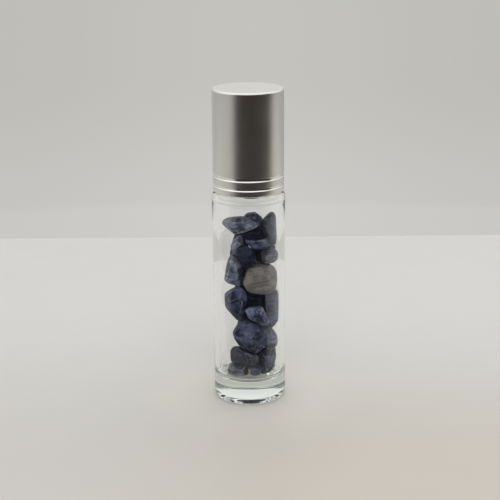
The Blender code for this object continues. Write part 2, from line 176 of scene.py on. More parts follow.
def rounded(corners, steps=5):
    """Outline through (radius, height, rounding) corners, each worn round by its own amount."""
    points = []
    for index, (radius, height, rounding) in enumerate(corners):
        here = Vector((radius, height))
        if not rounding:
            points.append((radius, height))
            continue
        before = (Vector(corners[index - 1][:2]) - here).normalized()
        after = (Vector(corners[(index + 1) % len(corners)][:2]) - here).normalized()
        half = before.angle(after) / 2
        centre = here + (before + after).normalized() * rounding / math.sin(half)
        start = here + before * rounding / math.tan(half) - centre
        end = here + after * rounding / math.tan(half) - centre
        first = math.degrees(math.atan2(start.y, start.x))
        sweep = (math.degrees(math.atan2(end.y, end.x)) - first + 180) % 360 - 180
        points += arc(centre.x, centre.y, rounding, first, first + sweep, steps)
    return points


def ringed(outline, longest):
    """The same outline, with no stretch longer than this."""
    points = [outline[0]]
    for start, end in zip(outline, outline[1:]):
        cuts = max(1, math.ceil(math.dist(start, end) / longest))
        for cut in range(1, cuts + 1):
            share = cut / cuts
            points.append((start[0] + (end[0] - start[0]) * share, start[1] + (end[1] - start[1]) * share))
    return points


def turned(name, outline, segments, closed=False, shift=None):
    """Turn an outline round the axis. It runs up the outside and down the inside.

    shift(angle, radius, height) gives how far out a point moves from the round.
    """
    places = []
    rings = []
    for radius, height in outline:
        if radius < 1e-6:
            rings.append([len(places)] * segments)
            places.append((0.0, 0.0, height * MM))
            continue
        rings.append(list(range(len(places), len(places) + segments)))
        for step in range(segments):
            angle = math.tau * step / segments
            reach = (radius + (shift(angle, radius, height) if shift else 0.0)) * MM
            places.append((reach * math.cos(angle), reach * math.sin(angle), height * MM))
    pairs = list(zip(rings, rings[1:]))
    if closed:
        pairs.append((rings[-1], rings[0]))
    faces = []
    for lower, upper in pairs:
        for step in range(segments):
            after = (step + 1) % segments
            corners = (lower[step], lower[after], upper[after], upper[step])
            faces.append(list(dict.fromkeys(corners)))
    mesh = bpy.data.meshes.new(name)
    mesh.from_pydata(places, [], [face for face in faces if len(face) > 2])
    return tidied(mesh)


def tidied(mesh, sharp=35):
    """Merge what touches, point every face outwards, and shade smooth but for the sharp edges."""
    body = bmesh.new()
    body.from_mesh(mesh)
    bmesh.ops.remove_doubles(body, verts=body.verts, dist=0.001 * MM)
    bmesh.ops.recalc_face_normals(body, faces=body.faces)
    body.to_mesh(mesh)
    body.free()
    mesh.shade_smooth()
    mesh.set_sharp_from_angle(angle=math.radians(sharp))
    return mesh


def smooth_step(value):
    """Ease a value from 0 to 1, held at both ends."""
    value = min(max(value, 0.0), 1.0)
    return value * value * (3 - 2 * value)


def ridge(angle, height, foot, turns, half_crest=0.22, half_foot=0.65, run_out=0.14):
    """How far a helical ridge has risen at this place, from 0 to 1, with both its ends run out."""
    turn = angle / math.tau
    nearest = round((height - foot) / LEAD - turn)
    rise = 0.0
    for lap in (nearest - 1, nearest, nearest + 1):
        along = turn + lap
        off = abs(height - foot - LEAD * along)
        if 0 <= along <= turns and off < half_foot:
            side = smooth_step((half_foot - off) / (half_foot - half_crest))
            rise = max(rise, side * smooth_step(min(along, turns - along) / run_out))
    return rise


def in_scene(name, data):
    """New object in the scene, for a mesh, a lamp or a camera."""
    item = bpy.data.objects.new(name, data)
    bpy.context.scene.collection.objects.link(item)
    return item


def modified(holder, name):
    """Plain mesh that an object's modifiers make of it. The object itself is removed."""
    seen = holder.evaluated_get(bpy.context.evaluated_depsgraph_get())
    mesh = bpy.data.meshes.new_from_object(seen)
    mesh.name = name
    bpy.data.objects.remove(holder, do_unlink=True)
    return mesh


def piece(name, mesh, body, slot, *nodes):
    """Put a finished mesh in the scene, on its body, in place of the nodes that it stands for."""
    item = in_scene(name, mesh)
    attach(item, body)
    if nodes:
        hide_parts(*nodes)
    return item


# Node trees


def node(tree, kind, inputs=None, **settings):
    """Add a node. Each input is a value, or another node's output to link."""
    made = tree.nodes.new(kind)
    for key, value in settings.items():
        setattr(made, key, value)
    for key, value in (inputs or {}).items():
        if isinstance(value, bpy.types.NodeSocket):
            tree.links.new(value, made.inputs[key])
        else:
            made.inputs[key].default_value = value
    return made


def maths(tree, operation, *values, clamp=False):
    """Do one sum on values or node outputs."""
    made = node(tree, "ShaderNodeMath", dict(enumerate(values)), operation=operation, use_clamp=clamp)
    return made.outputs[0]


def times(tree, first, *others):
    """Multiply values or node outputs together."""
    for other in others:
        first = maths(tree, "MULTIPLY", first, other)
    return first


def spread(tree, value, low, high, to_low=0.0, to_high=1.0, smooth=True):
    """Map a value from one range to another, held at both ends."""
    inputs = {"Value": value, "From Min": low, "From Max": high, "To Min": to_low, "To Max": to_high}
    kind = "SMOOTHSTEP" if smooth else "LINEAR"
    return node(tree, "ShaderNodeMapRange", inputs, interpolation_type=kind).outputs["Result"]


def blended(tree, share, first, second, kind="MIX"):
    """Mix two colours."""
    made = tree.nodes.new("ShaderNodeMix")
    made.data_type = "RGBA"
    made.blend_type = kind
    for key, value in ((0, share), (6, first), (7, second)):
        if isinstance(value, bpy.types.NodeSocket):
            tree.links.new(value, made.inputs[key])
        elif key:
            made.inputs[key].default_value = (*value, 1.0)
        else:
            made.inputs[key].default_value = value
    return made.outputs[2]


def dimmed(tree, colour, share):
    """Multiply a colour by one value."""
    even = node(tree, "ShaderNodeCombineXYZ", {"X": share, "Y": share, "Z": share}).outputs[0]
    return blended(tree, 1.0, colour, even, "MULTIPLY")


def cloud(tree, place, scale, detail=3.0, roughness=0.5, distortion=0.0):
    """Soft noise over a place. Scale counts its waves in one unit of the place."""
    inputs = {"Vector": place, "Scale": scale, "Detail": detail, "Roughness": roughness}
    inputs["Distortion"] = distortion
    return node(tree, "ShaderNodeTexNoise", inputs).outputs["Fac"]


def new_group(name, kind, inputs, outputs):
    """Empty node group with named sockets, its input node and its output node."""
    tree = bpy.data.node_groups.new(name, kind)
    for in_out, sockets in (("INPUT", inputs), ("OUTPUT", outputs)):
        for label, socket_kind, value in sockets:
            socket = tree.interface.new_socket(label, in_out=in_out, socket_type="NodeSocket" + socket_kind)
            if value is not None:
                socket.default_value = value
    return tree, tree.nodes.new("NodeGroupInput").outputs, tree.nodes.new("NodeGroupOutput").inputs


def place_group(tree, group, **values):
    """Place a shader node group, with its own values for the inputs named with underscores."""
    made = tree.nodes.new("ShaderNodeGroup")
    made.node_tree = group
    for key, value in values.items():
        made.inputs[key.replace("_", " ")].default_value = value
    return made.outputs


# Geometry Nodes


def grown(tree, name, values, outline=()):
    """Plain mesh that a Geometry Nodes tree makes from its named inputs, and from an outline if it takes one."""
    start = bpy.data.meshes.new(name + "_outline")
    start.from_pydata(outline, [(index, index + 1) for index in range(len(outline) - 1)], [])
    holder = in_scene(name + "_maker", start)
    maker = holder.modifiers.new("maker", "NODES")
    maker.node_group = tree
    for socket in tree.interface.items_tree:
        if socket.item_type == "SOCKET" and socket.in_out == "INPUT" and socket.name in values:
            maker[socket.identifier] = values[socket.name]
    mesh = modified(holder, name)
    mesh.materials.clear()
    mesh.materials.append(values["Finish"])
    mesh.polygons.foreach_set("material_index", [0] * len(mesh.polygons))
    return tidied(mesh)


def finish_tree(tree, geometry, material, result):
    """End a tree as every one here ends: instances made real, then the material set."""
    real = node(tree, "GeometryNodeRealizeInstances", {"Geometry": geometry}).outputs[0]
    dressed = node(tree, "GeometryNodeSetMaterial", {"Geometry": real, "Material": material})
    tree.links.new(dressed.outputs[0], result)


def drawn_shell_tree():
    """Sweep an outline round a ring. The outline's X is out from the ring, and its Y is down."""
    tree, given, result = new_group(
        "drawn_shell",
        "GeometryNodeTree",
        [
            ("Outline", "Geometry", None),
            ("Ring Radius", "Float", 9.65 * MM),
            ("Ring Segments", "Int", 192),
            ("Finish", "Material", None),
        ],
        [("Geometry", "Geometry", None)],
    )
    section = node(tree, "GeometryNodeMeshToCurve", {"Mesh": given["Outline"]}).outputs[0]
    inputs = {"Resolution": given["Ring Segments"], "Radius": given["Ring Radius"]}
    ring = node(tree, "GeometryNodeCurvePrimitiveCircle", inputs, mode="RADIUS").outputs["Curve"]
    swept = node(tree, "GeometryNodeCurveToMesh", {"Curve": ring, "Profile Curve": section}).outputs[0]
    merged = node(tree, "GeometryNodeMergeByDistance", {"Geometry": swept, "Distance": 0.001 * MM}).outputs[0]
    finish_tree(tree, merged, given["Finish"], result["Geometry"])
    return tree


def moulded_thread_tree():
    """Helical ridge that runs out at both ends, swept along a spiral."""
    tree, given, result = new_group(
        "moulded_thread",
        "GeometryNodeTree",
        [
            ("Crest Radius", "Float", 7.6 * MM),
            ("Foot Radius", "Float", 8.25 * MM),
            ("Lead", "Float", 3.0 * MM),
            ("Turns", "Float", 1.9),
            ("Crest Width", "Float", 0.45 * MM),
            ("Foot Width", "Float", 1.1 * MM),
            ("Start Height", "Float", 62.5 * MM),
            ("Start Turn", "Float", 0.25),
            ("Run Out", "Float", 0.08),
            ("Turn Segments", "Int", 120),
            ("Finish", "Material", None),
        ],
        [("Geometry", "Geometry", None)],
    )
    inputs = {
        "Resolution": given["Turn Segments"],
        "Rotations": given["Turns"],
        "Start Radius": given["Foot Radius"],
        "End Radius": given["Foot Radius"],
        "Height": times(tree, given["Lead"], given["Turns"]),
        "Reverse": True,
    }
    spiral = node(tree, "GeometryNodeCurveSpiral", inputs).outputs[0]
    upright = node(tree, "GeometryNodeSetCurveNormal", {"Curve": spiral}, mode="Z_UP").outputs[0]
    along = node(tree, "GeometryNodeSplineParameter").outputs["Factor"]
    nearer = maths(tree, "MINIMUM", along, maths(tree, "SUBTRACT", 1.0, along))
    risen = spread(tree, maths(tree, "DIVIDE", nearer, given["Run Out"]), 0.0, 1.0, 0.02, 1.0)
    depth = maths(tree, "SUBTRACT", given["Foot Radius"], given["Crest Radius"])
    inputs = {"Height": times(tree, depth, 2.0), "Offset": 0.0, "Bottom Width": given["Crest Width"]}
    doubled = times(tree, given["Foot Width"], 2.0)
    inputs["Top Width"] = maths(tree, "SUBTRACT", doubled, given["Crest Width"])
    section = node(tree, "GeometryNodeCurvePrimitiveQuadrilateral", inputs, mode="TRAPEZOID").outputs[0]
    inputs = {"Curve": section, "Radius": 0.12 * MM, "Count": 3}
    softened = node(tree, "GeometryNodeFilletCurve", inputs, mode="POLY").outputs[0]
    inputs = {"Geometry": softened, "Rotation": (0.0, 0.0, -math.pi / 2)}
    quarter = node(tree, "GeometryNodeTransform", inputs).outputs[0]
    inputs = {"Curve": upright, "Profile Curve": quarter, "Scale": risen, "Fill Caps": True}
    swept = node(tree, "GeometryNodeCurveToMesh", inputs).outputs[0]
    turn = times(tree, given["Start Turn"], math.tau)
    move = node(tree, "ShaderNodeCombineXYZ", {"Z": given["Start Height"]}).outputs[0]
    face = node(tree, "ShaderNodeCombineXYZ", {"Z": turn}).outputs[0]
    inputs = {"Geometry": swept, "Translation": move, "Rotation": face}
    placed = node(tree, "GeometryNodeTransform", inputs).outputs[0]
    finish_tree(tree, placed, given["Finish"], result["Geometry"])
    return tree


def grip_ribs_tree():
    """Upright half-round ribs, evenly spaced round a wall."""
    tree, given, result = new_group(
        "grip_ribs",
        "GeometryNodeTree",
        [
            ("Ring Radius", "Float", 8.9 * MM),
            ("Rib Count", "Int", 60),
            ("Rib Radius", "Float", 0.22 * MM),
            ("Rib Height", "Float", 20.0 * MM),
            ("Middle Height", "Float", 72.0 * MM),
            ("Finish", "Material", None),
        ],
        [("Geometry", "Geometry", None)],
    )
    inputs = {"Vertices": 10, "Radius": given["Rib Radius"], "Depth": given["Rib Height"]}
    rib = node(tree, "GeometryNodeMeshCylinder", inputs).outputs["Mesh"]
    inputs = {"Vertices": given["Rib Count"], "Radius": given["Ring Radius"]}
    ring = node(tree, "GeometryNodeMeshCircle", inputs).outputs[0]
    spaced = node(tree, "GeometryNodeInstanceOnPoints", {"Points": ring, "Instance": rib}).outputs[0]
    raised = node(tree, "ShaderNodeCombineXYZ", {"Z": given["Middle Height"]}).outputs[0]
    placed = node(tree, "GeometryNodeTransform", {"Geometry": spaced, "Translation": raised}).outputs[0]
    finish_tree(tree, placed, given["Finish"], result["Geometry"])
    return tree


# Finishes that several materials share


def handled_surface_group():
    """Fine grain and faint handling smears, for moulded plastic and metal. Places are in metres."""
    tree, given, result = new_group(
        "handled_surface",
        "ShaderNodeTree",
        [
            ("Roughness", "Float", 0.35),
            ("Smear", "Float", 0.05),
            ("Smear Scale", "Float", 180.0),
            ("Grain Scale", "Float", 9000.0),
        ],
        [("Roughness", "Float", None), ("Grain", "Float", None), ("Smear", "Float", None)],
    )
    place = node(tree, "ShaderNodeTexCoord").outputs["Object"]
    grain = cloud(tree, place, given["Grain Scale"], 2.0, 0.6)
    smear = spread(tree, cloud(tree, place, given["Smear Scale"], 4.0, 0.55, 0.8), 0.35, 0.7)
    off = times(tree, maths(tree, "SUBTRACT", smear, 0.5), given["Smear"])
    tree.links.new(maths(tree, "ADD", given["Roughness"], off, clamp=True), result["Roughness"])
    tree.links.new(grain, result["Grain"])
    tree.links.new(smear, result["Smear"])
    return tree


def stone_marbling_group():
    """Clouds, pale veins and bands of a tumbled stone, over the piece's own grain attribute in millimetres."""
    tree, given, result = new_group(
        "stone_marbling",
        "ShaderNodeTree",
        [
            ("Deep", "Color", (0.02, 0.02, 0.03, 1.0)),
            ("Haze", "Color", (0.10, 0.11, 0.14, 1.0)),
            ("Vein", "Color", (0.35, 0.36, 0.38, 1.0)),
            ("Haze Scale", "Float", 0.40),
            ("Haze Amount", "Float", 0.7),
            ("Vein Scale", "Float", 0.22),
            ("Vein Width", "Float", 0.012),
            ("Vein Amount", "Float", 0.6),
            ("Band Scale", "Float", 0.5),
            ("Band Amount", "Float", 0.0),
            ("Edge Amount", "Float", 0.5),
            ("Polish", "Float", 0.34),
        ],
        [("Color", "Color", None), ("Roughness", "Float", None), ("Height", "Float", None)],
    )
    place = node(tree, "ShaderNodeAttribute", attribute_name="stone_grain").outputs["Vector"]
    own = node(tree, "ShaderNodeAttribute", attribute_name="stone_tone").outputs["Vector"]
    tone, greyness = node(tree, "ShaderNodeSeparateXYZ", {0: own}).outputs[:2]
    haze = spread(tree, cloud(tree, place, given["Haze Scale"], 4.0, 0.5, 0.6), 0.36, 0.66)
    inputs = {"Vector": place, "Scale": given["Band Scale"], "Distortion": 2.0, "Detail": 3.0, "Detail Scale": 0.6}
    wave = node(tree, "ShaderNodeTexWave", inputs, bands_direction="Z").outputs["Fac"]
    banded = times(tree, wave, given["Band Amount"])
    haze_share = times(tree, maths(tree, "MAXIMUM", haze, banded), given["Haze Amount"])
    colour = blended(tree, haze_share, given["Deep"], given["Haze"])
    crossing = cloud(tree, place, given["Vein Scale"], 2.5, 0.5, 1.4)
    off = maths(tree, "ABSOLUTE", maths(tree, "SUBTRACT", crossing, 0.5))
    line = maths(tree, "SUBTRACT", 1.0, spread(tree, maths(tree, "DIVIDE", off, given["Vein Width"]), 0.1, 1.0))
    patch = spread(tree, cloud(tree, place, 0.24, 2.0, 0.5), 0.47, 0.62)
    vein = times(tree, line, patch, given["Vein Amount"])
    colour = blended(tree, vein, colour, given["Vein"])
    # Paler at the chips' convex edges: partly frosted wear, partly a painted highlight along the facet edges.
    edge = node(tree, "ShaderNodeAttribute", attribute_name="stone_edge").outputs["Fac"]
    edge_wear_and_highlight = times(tree, edge, spread(tree, cloud(tree, place, 1.1, 3.0, 0.6), 0.3, 0.65))
    colour = blended(tree, times(tree, edge_wear_and_highlight, given["Edge Amount"]), colour, given["Vein"])
    light = node(tree, "ShaderNodeRGBToBW", {0: colour}).outputs[0]
    grey = node(tree, "ShaderNodeCombineXYZ", {"X": light, "Y": light, "Z": times(tree, light, 1.05)})
    colour = blended(tree, greyness, colour, grey.outputs[0])
    mottle = spread(tree, cloud(tree, place, 2.6, 4.0, 0.65), 0.3, 0.75, 0.85, 1.15, smooth=False)
    # The chip's tone, partly painted light and shade, lightens or darkens its colour.
    colour = dimmed(tree, colour, times(tree, mottle, tone))
    pits = spread(tree, cloud(tree, place, 5.0, 3.0, 0.6), 0.28, 0.42)
    dulled = times(tree, maths(tree, "SUBTRACT", 1.0, pits), 0.25)
    hazed = times(tree, haze_share, 0.14)
    rough = maths(tree, "ADD", given["Polish"], maths(tree, "ADD", dulled, hazed), clamp=True)
    tree.links.new(colour, result["Color"])
    tree.links.new(rough, result["Roughness"])
    tree.links.new(maths(tree, "SUBTRACT", pits, times(tree, vein, 0.3)), result["Height"])
    return tree


# Materials


def new_material(name, colour, **values):
    """Principled material with its even values set straight on the shader."""
    material = bpy.data.materials.new(name)
    material.use_nodes = True
    shader = material.node_tree.nodes["Principled BSDF"]
    shader.inputs["Base Color"].default_value = (*colour, 1.0)
    for key, value in values.items():
        shader.inputs[key.replace("_", " ")].default_value = value
    return material, material.node_tree, shader


def bump(tree, shader, height, strength, distance, normal=None):
    """Raise a height on the surface. Distance is in millimetres."""
    inputs = {"Height": height, "Strength": strength, "Distance": distance * MM}
    if normal:
        inputs["Normal"] = normal
    tree.links.new(node(tree, "ShaderNodeBump", inputs).outputs["Normal"], shader.inputs["Normal"])


def clear_glass():
    """Flint glass: clear, faintly green where it is thick, with the slow waves of a blown wall."""
    material, tree, shader = new_material("clear_glass", (1.0, 1.0, 1.0), Roughness=0.0, IOR=1.51)
    shader.inputs["Transmission Weight"].default_value = 1.0
    shader.inputs["Specular IOR Level"].default_value = 0.2
    place = node(tree, "ShaderNodeTexCoord").outputs["Object"]
    squashed = node(tree, "ShaderNodeMapping", {"Vector": place, "Scale": (1.0, 1.0, 0.35)}).outputs[0]
    bump(tree, shader, cloud(tree, squashed, 130.0, 1.0, 0.4), 0.12, 0.5)
    output = tree.nodes["Material Output"]
    depth = node(tree, "ShaderNodeVolumeAbsorption", {"Color": (0.72, 0.86, 0.80, 1.0), "Density": 18.0})
    tree.links.new(depth.outputs[0], output.inputs["Volume"])
    lamp_ray = node(tree, "ShaderNodeLightPath").outputs["Is Shadow Ray"]
    clear = node(tree, "ShaderNodeBsdfTransparent", {"Color": (0.95, 0.965, 0.96, 1.0)})
    both = node(tree, "ShaderNodeMixShader", {0: lamp_ray, 1: shader.outputs[0], 2: clear.outputs[0]})
    tree.links.new(both.outputs[0], output.inputs["Surface"])
    return material


def satin_aluminium(handled):
    """Anodised satin, bright and smooth in the two turned grooves."""
    material, tree, shader = new_material("satin_aluminium", (0.80, 0.79, 0.77), Metallic=1.0, Roughness=0.33)
    surface = place_group(tree, handled, Roughness=0.33, Smear=0.05, Smear_Scale=140.0, Grain_Scale=11000.0)
    height = node(tree, "ShaderNodeSeparateXYZ", {0: node(tree, "ShaderNodeTexCoord").outputs["Object"]}).outputs[2]
    polished = lean = 0.0
    for middle, width in GROOVES:
        off = maths(tree, "DIVIDE", maths(tree, "SUBTRACT", height, middle * MM), width * MM)
        inside = spread(tree, maths(tree, "ABSOLUTE", off), 0.42, 0.52, 1.0, 0.0)
        polished = maths(tree, "MAXIMUM", polished, inside)
        side = spread(tree, off, -0.15, 0.05, 0.10, -0.08)
        lean = maths(tree, "ADD", lean, times(tree, side, inside))
    rough = times(tree, surface["Roughness"], spread(tree, polished, 0.0, 1.0, 1.0, 0.22, smooth=False))
    tree.links.new(rough, shader.inputs["Roughness"])
    colour = blended(tree, polished, (0.80, 0.79, 0.77), (0.90, 0.89, 0.87))
    smeared = blended(tree, times(tree, surface["Smear"], 0.06), colour, (0.66, 0.65, 0.63))
    tree.links.new(smeared, shader.inputs["Base Color"])
    satin = times(tree, surface["Grain"], maths(tree, "SUBTRACT", 1.0, polished))
    tilt = node(tree, "ShaderNodeCombineXYZ", {"Z": lean}).outputs[0]
    upright = node(tree, "ShaderNodeNewGeometry").outputs["Normal"]
    leaning = node(tree, "ShaderNodeVectorMath", {0: upright, 1: tilt}, operation="ADD").outputs[0]
    leaning = node(tree, "ShaderNodeVectorMath", {0: leaning}, operation="NORMALIZE").outputs[0]
    bump(tree, shader, satin, 0.08, 0.004, leaning)
    return material


def polished_steel(handled):
    """Ground and polished ball, with a faint film of oil."""
    material, tree, shader = new_material("polished_steel", (0.70, 0.70, 0.69), Metallic=1.0, Roughness=0.07)
    surface = place_group(tree, handled, Roughness=0.09, Smear=0.10, Smear_Scale=420.0, Grain_Scale=5000.0)
    tree.links.new(surface["Roughness"], shader.inputs["Roughness"])
    film = blended(tree, times(tree, surface["Smear"], 0.5), (0.72, 0.72, 0.71), (0.62, 0.61, 0.57))
    tree.links.new(film, shader.inputs["Base Color"])
    bump(tree, shader, surface["Grain"], 0.08, 0.002)
    return material


def moulded_plastic(name, colour, dull, handled, rough, scatter):
    """Moulded polyolefin that lets a little light in, with the mould's fine texture."""
    material, tree, shader = new_material(name, colour, Roughness=rough, IOR=1.49, Subsurface_Weight=scatter)
    shader.inputs["Subsurface Radius"].default_value = (1.0, 1.0, 0.9)
    shader.inputs["Subsurface Scale"].default_value = 1.2 * MM
    surface = place_group(tree, handled, Roughness=rough, Smear=0.12, Smear_Scale=260.0, Grain_Scale=6000.0)
    tree.links.new(surface["Roughness"], shader.inputs["Roughness"])
    tinted = blended(tree, times(tree, surface["Smear"], 0.5), colour, dull)
    tree.links.new(tinted, shader.inputs["Base Color"])
    bump(tree, shader, surface["Grain"], 0.3, 0.01)
    return material


STONES = {
    "stone_night": {
        "Deep": (0.006, 0.008, 0.022),
        "Haze": (0.051, 0.067, 0.150),
        "Vein": (0.20, 0.22, 0.29),
        "Haze Amount": 0.75,
        "Vein Amount": 0.45,
        "Vein Width": 0.010,
    },
    "stone_slate": {
        "Deep": (0.016, 0.020, 0.050),
        "Haze": (0.120, 0.155, 0.310),
        "Vein": (0.28, 0.30, 0.37),
        "Haze Amount": 0.85,
        "Vein Amount": 0.6,
        "Vein Width": 0.012,
    },
    "stone_haze": {
        "Deep": (0.035, 0.044, 0.090),
        "Haze": (0.220, 0.264, 0.405),
        "Vein": (0.40, 0.42, 0.48),
        "Haze Amount": 0.9,
        "Vein Amount": 0.7,
        "Vein Width": 0.016,
    },
    "stone_beige": {
        "Deep": (0.215, 0.203, 0.197),
        "Haze": (0.500, 0.468, 0.450),
        "Vein": (0.075, 0.075, 0.085),
        "Haze Amount": 0.85,
        "Vein Amount": 0.25,
        "Vein Width": 0.030,
        "Band Scale": 0.35,
        "Band Amount": 0.6,
    },
    "stone_umber": {
        "Deep": (0.024, 0.029, 0.048),
        "Haze": (0.175, 0.186, 0.232),
        "Vein": (0.38, 0.38, 0.39),
        "Haze Amount": 0.8,
        "Vein Amount": 0.7,
        "Vein Width": 0.014,
        "Band Scale": 0.55,
        "Band Amount": 0.85,
    },
}


# How light each chip is against the others of its stone, and how grey. The lightness is partly each chip's own tone
# and partly painted light and shade, as it also carries how brightly that chip is lit. Chips at the back share one
# pair.
TONES = {
    "beak": (2.95, 0.7), "dome": (4.0, 0.45), "ear": (0.6, 0.0), "pupil": (0.35, 0.0), "cheek": (1.4, 0.2),
    "bun": (1.55, 0.4), "tooth": (0.42, 0.0), "flank": (3.0, 0.6), "knuckle": (1.65, 0.2), "crumb": (1.2, 0.2),
    "loaf": (0.85, 0.0), "shield": (2.35, 0.25), "shade": (0.55, 0.0), "pillar": (1.2, 0.1), "arrow": (2.45, 0.4),
    "diamond": (1.35, 0.4), "wing": (1.4, 0.1), "boot": (1.9, 0.2), "bark": (0.8, 0.0), "block": (2.4, 0.7),
    "keel": (0.82, 0.0),
}
BACK_TONE = (0.8, 0.3)


def polished_stone(name, marbling):
    """Tumbled stone with a soft polish."""
    values = STONES[name]
    material, tree, shader = new_material(name, values["Deep"], Roughness=0.22, IOR=1.52)
    shader.inputs["Specular IOR Level"].default_value = 0.08
    surface = tree.nodes.new("ShaderNodeGroup")
    surface.node_tree = marbling
    for key, value in values.items():
        surface.inputs[key].default_value = (*value, 1.0) if isinstance(value, tuple) else value
    tree.links.new(surface.outputs["Color"], shader.inputs["Base Color"])
    tree.links.new(surface.outputs["Roughness"], shader.inputs["Roughness"])
    bump(tree, shader, surface.outputs["Height"], 0.35, 0.03)
    return material


def level_compass(tree, vector):
    """Level direction of a ray, or of a place seen from the bottle's axis."""
    flat = node(tree, "ShaderNodeVectorMath", {0: vector, 1: (1.0, 1.0, 0.0)}, operation="MULTIPLY").outputs[0]
    return node(tree, "ShaderNodeVectorMath", {0: flat}, operation="NORMALIZE").outputs[0]


def facing(tree, compass, side):
    """How squarely a level direction faces one side, from -1 to 1."""
    return node(tree, "ShaderNodeVectorMath", {0: compass, 1: side}, operation="DOT_PRODUCT").outputs["Value"]


def in_dark_room(tree, compass):
    """Share of the dark side of the room in a level direction."""
    return spread(tree, facing(tree, compass, DARK_ROOM_SIDE), 0.28, 0.62)


def board_colour_and_painted_shade(tree, place, reach):
    """Colour of the board: whitest at the back, darker and a little warm in front as painted shade, with a painted
    warm shadow before the bottle, paler by the bottle as painted light over its shadow, and flecked.
    """
    across, back = node(tree, "ShaderNodeSeparateXYZ", {0: place}).outputs[:2]
    # Painted shade: the board darkens and warms towards the front.
    colour = blended(tree, spread(tree, back, 0.08, -0.05), (0.780, 0.770, 0.750), (0.690, 0.672, 0.635))
    # Painted shadow: a warm darker patch on the board in front of the bottle and to its right.
    right = spread(tree, maths(tree, "ADD", across, times(tree, back, -0.4)), -0.03, 0.04)
    warm = times(tree, right, spread(tree, back, 0.02, -0.05))
    colour = blended(tree, times(tree, warm, 0.8), colour, (0.690, 0.640, 0.560))
    # Painted light: the board is paler close round the bottle, which thins the bottle's shadow there.
    near = spread(tree, reach, 0.036, 0.012)
    colour = blended(tree, times(tree, near, 0.8), colour, (0.800, 0.770, 0.705))
    fleck = spread(tree, cloud(tree, place, 60.0, 4.0, 0.6), 0.3, 0.7)
    return blended(tree, times(tree, fleck, 0.035), colour, (0.55, 0.54, 0.52))


def painted_dark_reflection(tree, place, reach):
    """Share of the board painted dark for what metal and glass mirror of it, far off in front and close in front: a
    painted dark reflection that stands in for shade in front of the bottle.
    """
    path = node(tree, "ShaderNodeLightPath").outputs
    mirrored = maths(tree, "GREATER_THAN", path["Glossy Depth"], 0.5)
    mirrored = times(tree, mirrored, maths(tree, "LESS_THAN", path["Diffuse Depth"], 0.5))
    compass = level_compass(tree, place)
    back = node(tree, "ShaderNodeSeparateXYZ", {0: place}).outputs[1]
    far = times(tree, in_dark_room(tree, compass), spread(tree, back, -0.02, -0.10))
    close = spread(tree, facing(tree, compass, DARK_FLOOR_SIDE), 0.42, 0.60)
    close = times(tree, close, spread(tree, reach, 0.19, 0.15), spread(tree, reach, 0.02, 0.05))
    return times(tree, mirrored, maths(tree, "MAXIMUM", far, close))


def pale_floor():
    """Smooth pale board with painted shade and light, painted dark where metal and glass mirror it."""
    material, tree, shader = new_material("pale_floor", (0.68, 0.67, 0.65), Roughness=0.55)
    shader.inputs["Specular IOR Level"].default_value = 0.25
    place = node(tree, "ShaderNodeTexCoord").outputs["Object"]
    reach = node(tree, "ShaderNodeVectorMath", {0: place}, operation="LENGTH").outputs["Value"]
    colour = board_colour_and_painted_shade(tree, place, reach)
    # Painted reflection: the board turns dark grey only for rays that metal and glass mirror.
    colour = blended(tree, painted_dark_reflection(tree, place, reach), colour, (0.03, 0.03, 0.03))
    tree.links.new(colour, shader.inputs["Base Color"])
    return material


# Pieces


def punt(radius):
    """How far the base is pushed up at this radius: steeply inside its ring, then nearly flat."""
    risen = smooth_step((PUNT_FOOT - radius) / (PUNT_FOOT - PUNT_BROW))
    return PUNT_DEPTH * risen + PUNT_DISH * smooth_step(1 - radius / PUNT_BROW)


